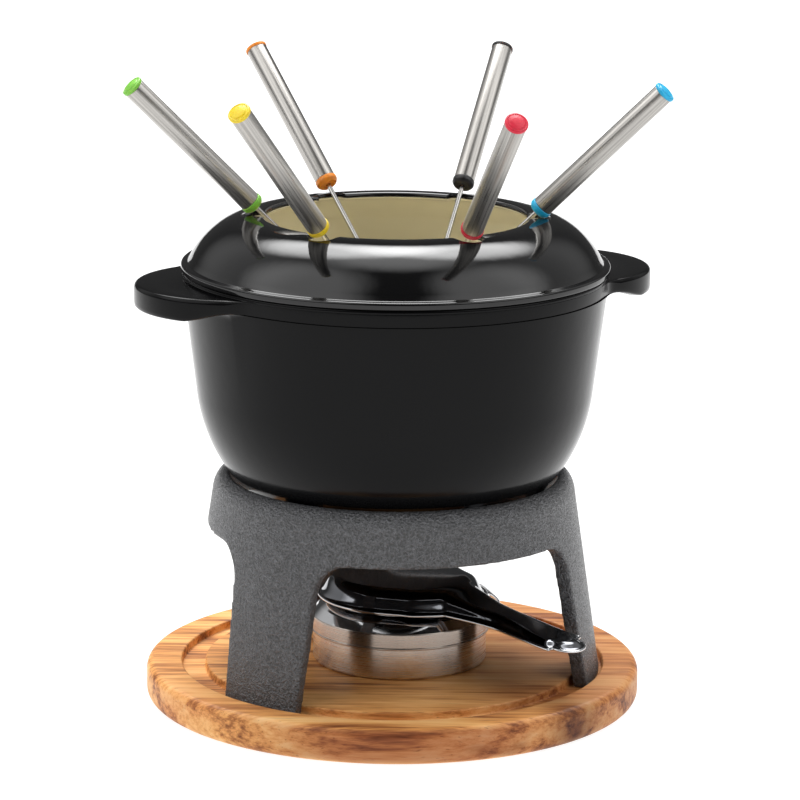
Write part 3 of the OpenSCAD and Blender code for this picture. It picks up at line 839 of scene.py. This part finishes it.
def make_lid():
    """A pressed lid: dome and channel handle rise from one flat rim with a rolled edge."""
    pitch, sheet = 0.6, 0.9
    ring = lid_outline()
    xs = np.arange(-LID_R - pitch, LID_REACH + 2 * pitch, pitch)
    ys = np.arange(-LID_R - pitch, LID_R + 2 * pitch, pitch)
    gx, gy = np.meshgrid(xs, ys, indexing="ij")
    points = np.stack([gx.ravel(), gy.ravel()], axis=1)
    widths = np.array([lid_half_width(x) if x > -LID_R else 0.0 for x in xs])
    inside = (np.abs(gy) < widths[:, None]).ravel()
    snapped, gap = nearest_on_ring(points, ring)
    points[~inside] = snapped[~inside]
    depth = np.where(inside, gap, 0.0)
    flat, flank = 1.9, 4.2 + 4.8 * smoothstep(-points[:, 0], -50, -22)
    rise = np.clip((depth - flat) / flank, 0, 1)
    body = np.sqrt(1 - (1 - rise) ** 2) * smoothstep(rise, -0.4, 0.35)
    ridge = (2.2 + 2.4 * smoothstep(-points[:, 0], -94, -56)
             + (LID_H - 5.1) * smoothstep(-points[:, 0], -54, -24))
    crown = 0.4 * np.clip(1 - (points ** 2).sum(1) / LID_R ** 2, 0, 1)
    z = lid_rim_z(points[:, 0]) + ridge * body + crown + sheet
    verts = np.column_stack([points, z])
    count = len(ys)
    faces = []
    for i in range(len(xs) - 1):
        for j in range(count - 1):
            near, far = i * count + j, (i + 1) * count + j
            corners = (near, far, far + 1, near + 1)
            if any(inside[k] for k in corners):
                faces.append(corners)
    used = sorted({k for face in faces for k in face})
    number = {k: n for n, k in enumerate(used)}
    faces = [tuple(number[k] for k in face) for face in faces]
    mesh = finish_mesh("lid_pressing", verts[used], faces)
    place = burner_place(LID_TURN)
    # the lid takes the darker copy of the mirror steel: painted shade on its reflections
    piece = new_piece("lid_pressing", mesh, "snuffer_lid", "cover_steel", ["snuffer_lid"],
                      SHADED_MIRROR, place)
    if mesh.polygons[0].normal.z < 0:
        mesh.flip_normals()
    soften = piece.modifiers.new("soften", "SMOOTH")
    soften.factor = 0.5
    soften.iterations = 16
    thick = piece.modifiers.new("sheet", "SOLIDIFY")
    thick.thickness = sheet * MM
    thick.offset = -1.0
    bake_modifiers(piece)
    bead_r = 0.62
    circle = np.linspace(0, 2 * math.pi, 12, endpoint=False)
    rows = []
    for i, (x, y) in enumerate(ring):
        along = ring[(i + 1) % len(ring)] - ring[i - 1]
        along = along / np.linalg.norm(along)
        z = float(lid_rim_z(x)) + sheet / 2
        rows.append([(x - along[1] * bead_r * math.cos(t), y + along[0] * bead_r * math.cos(t),
                      z + bead_r * math.sin(t)) for t in circle])
    bead = grid("lid_bead", rows, wrap_v=True)
    new_piece("lid_bead", bead, "snuffer_lid", "cover_steel", [], MIRROR, place)


def make_gauze():
    """Two crossing sets of waved wires, woven over and under each other."""
    gauze_z, wire_r, pitch, reach = BOARD_T + 16.2, 0.35, 3.0, 39.0
    verts, faces = [], []
    sides = 6
    lines = np.arange(-reach + 1, reach, pitch)
    for direction in range(2):
        for i, off in enumerate(lines):
            half = math.sqrt(reach ** 2 - off ** 2)
            steps = max(6, int(2 * half / 1.5))
            base = len(verts)
            for k in range(steps + 1):
                s = -half + 2 * half * k / steps
                wave = 0.33 * math.cos(math.pi * s / pitch + math.pi * (i + direction))
                for j in range(sides):
                    t = 2 * math.pi * j / sides
                    p = (s, off + wire_r * math.cos(t), gauze_z + wave + wire_r * math.sin(t))
                    verts.append(p if direction == 0 else (p[1], p[0], p[2]))
            for k in range(steps):
                for j in range(sides):
                    j1, here, ahead = (j + 1) % sides, base + k * sides, base + (k + 1) * sides
                    faces.append((here + j, here + j1, ahead + j1, ahead + j))
            faces.append(tuple(base + j for j in range(sides)))
            faces.append(tuple(base + steps * sides + j for j in range(sides)))
    mesh = bpy.data.meshes.new("gauze_weave")
    mesh.from_pydata([Vector(v) * MM for v in verts], [], faces)
    for polygon in mesh.polygons:
        polygon.use_smooth = True
    new_piece("gauze_weave", mesh, "burner", "gauze_steel", ["burner_gauze"], GAUZE,
              burner_place())


def make_wadding():
    radius, low, high = CUP_R - 1.4, BOARD_T + 0.9, BOARD_T + 14.2
    outline = rounded([(0, low), (radius, low, 2.0), (radius, high, 2.5), (0, high + 0.8)], 6)
    mesh = lathe("felt_wad", outline, 128)
    new_piece("felt_wad", mesh, "burner", "wadding", ["burner_wadding"], FELT, burner_place())


# ---------------------------------------------------------------- studio


CAMERA_AZIMUTH = -23.0
CAMERA_ELEVATION = 14.04
CAMERA_DISTANCE_M = 1.8037
CAMERA_LENS = 174.6


def make_camera():
    a, e = math.radians(CAMERA_AZIMUTH), math.radians(CAMERA_ELEVATION)
    way = Vector((math.sin(a) * math.cos(e), -math.cos(a) * math.cos(e), math.sin(e)))
    bpy.context.scene.view_settings.view_transform = "Standard"
    data = bpy.data.cameras.new("camera")
    data.lens, data.sensor_width = CAMERA_LENS, 36.0
    data.clip_start, data.clip_end = 0.05, 60.0
    camera = bpy.data.objects.new("camera", data)
    bpy.context.scene.collection.objects.link(camera)
    aim_up, aim_right, roll = 1.241, 0.080, 0.50
    turn = way.to_track_quat("Z", "Y").to_matrix().to_4x4()
    turn = turn @ Matrix.Rotation(math.radians(aim_up), 4, "X")
    turn = turn @ Matrix.Rotation(math.radians(-aim_right), 4, "Y")
    turn = turn @ Matrix.Rotation(math.radians(roll), 4, "Z")
    camera.matrix_world = Matrix.Translation(Vector((0, 0, 0.1)) + way * CAMERA_DISTANCE_M) @ turn
    bpy.context.scene.camera = camera


def make_floor():
    """A plain white floor, 60 m square, so that its far edge doesn't show as a line."""
    mesh = bpy.data.meshes.new("floor")
    half = 30.0
    corners = [(-half, -half, 0), (half, -half, 0), (half, half, 0), (-half, half, 0)]
    mesh.from_pydata(corners, [], [(0, 1, 2, 3)])
    floor = bpy.data.objects.new("floor", mesh)
    bpy.context.scene.collection.objects.link(floor)
    look = Look("floor_white", base_color=(0.25, 0.25, 0.25), roughness=0.9,
                specular_ior_level=0.1)
    look.set(emission_color=(1.0, 1.0, 1.0), emission_strength=0.90)
    mesh.materials.append(look.material)


def toward(azimuth, elevation):
    """Unit vector to the studio. Azimuth 0 is behind the camera and 90 at its right, in degrees."""
    a, e = math.radians(azimuth + CAMERA_AZIMUTH), math.radians(elevation)
    return Vector((math.sin(a) * math.cos(e), -math.cos(a) * math.cos(e), math.sin(e)))


# each soft panel: azimuth, elevation, half width of its even middle and out to the end of its
# soft edge, all in degrees, then its strength
PANELS = (
    (-66, 42, 16, 38, 1.80),
    (68, 42, 14, 36, 1.70),
    (-118, 34, 14, 40, 0.50),
    (118, 34, 14, 40, 0.40),
    (160, 56, 5, 22, 8.0),
    (200, 56, 5, 22, 8.0),
    (180, 78, 6, 26, 2.6),
)
# the dark gap behind the camera: half widths in degrees, share of light left, and the share of
# the way up where the gap ends
GAP_HALF, GAP_EDGE, GAP_LIGHT = 7, 15, 0.06
GAP_TOP_FROM, GAP_TOP_TO = 0.55, 0.75
ROOM = 0.07


def make_world():
    """Soft panels in a dim room, with a narrow dark gap behind the camera."""
    world = bpy.data.worlds.new("studio")
    bpy.context.scene.world = world
    world.use_nodes = True
    tree = world.node_tree
    shade = tree.nodes["Background"]
    spot = tree.nodes.new("ShaderNodeTexCoord").outputs["Generated"]

    def node(kind, operation, *values):
        made = tree.nodes.new(kind)
        made.operation = operation
        for i, value in enumerate(values):
            if isinstance(value, bpy.types.NodeSocket):
                tree.links.new(value, made.inputs[i])
            else:
                made.inputs[i].default_value = value
        return made.outputs["Value"]

    def fade(value, low, high, to_low, to_high):
        made = tree.nodes.new("ShaderNodeMapRange")
        made.interpolation_type = "SMOOTHSTEP"
        tree.links.new(value, made.inputs[0])
        for i, number in enumerate((low, high, to_low, to_high)):
            made.inputs[i + 1].default_value = number
        return made.outputs[0]

    total = None
    for azimuth, elevation, middle, edge, strength in PANELS:
        dot = node("ShaderNodeVectorMath", "DOT_PRODUCT", spot, toward(azimuth, elevation))
        dark_at, full_at = math.cos(math.radians(edge)), math.cos(math.radians(middle))
        glow = fade(dot, dark_at, full_at, 0.0, strength)
        total = glow if total is None else node("ShaderNodeMath", "ADD", total, glow)
    total = node("ShaderNodeMath", "ADD", total, ROOM)
    across = node("ShaderNodeVectorMath", "DOT_PRODUCT", spot, toward(90, 0))
    across = node("ShaderNodeMath", "ABSOLUTE", across)
    ahead = node("ShaderNodeVectorMath", "DOT_PRODUCT", spot, toward(0, 0))
    angle = node("ShaderNodeMath", "ARCTAN2", across, ahead)
    open_part = fade(angle, math.radians(GAP_HALF), math.radians(GAP_EDGE), GAP_LIGHT, 1.0)
    height = node("ShaderNodeVectorMath", "DOT_PRODUCT", spot, Vector((0, 0, 1)))
    high_part = fade(height, GAP_TOP_FROM, GAP_TOP_TO, 0.0, 1.0)
    keep = node("ShaderNodeMath", "MAXIMUM", open_part, high_part)
    tree.links.new(node("ShaderNodeMath", "MULTIPLY", total, keep), shade.inputs["Strength"])
    shade.inputs["Color"].default_value = (1.0, 1.0, 1.0, 1.0)


make_board()
make_stand()
make_pot()
make_guard()
make_forks()
make_burner_cup()
make_burner_cover()
make_regulator()
make_lid()
make_gauze()
make_wadding()
make_floor()
make_world()
make_camera()
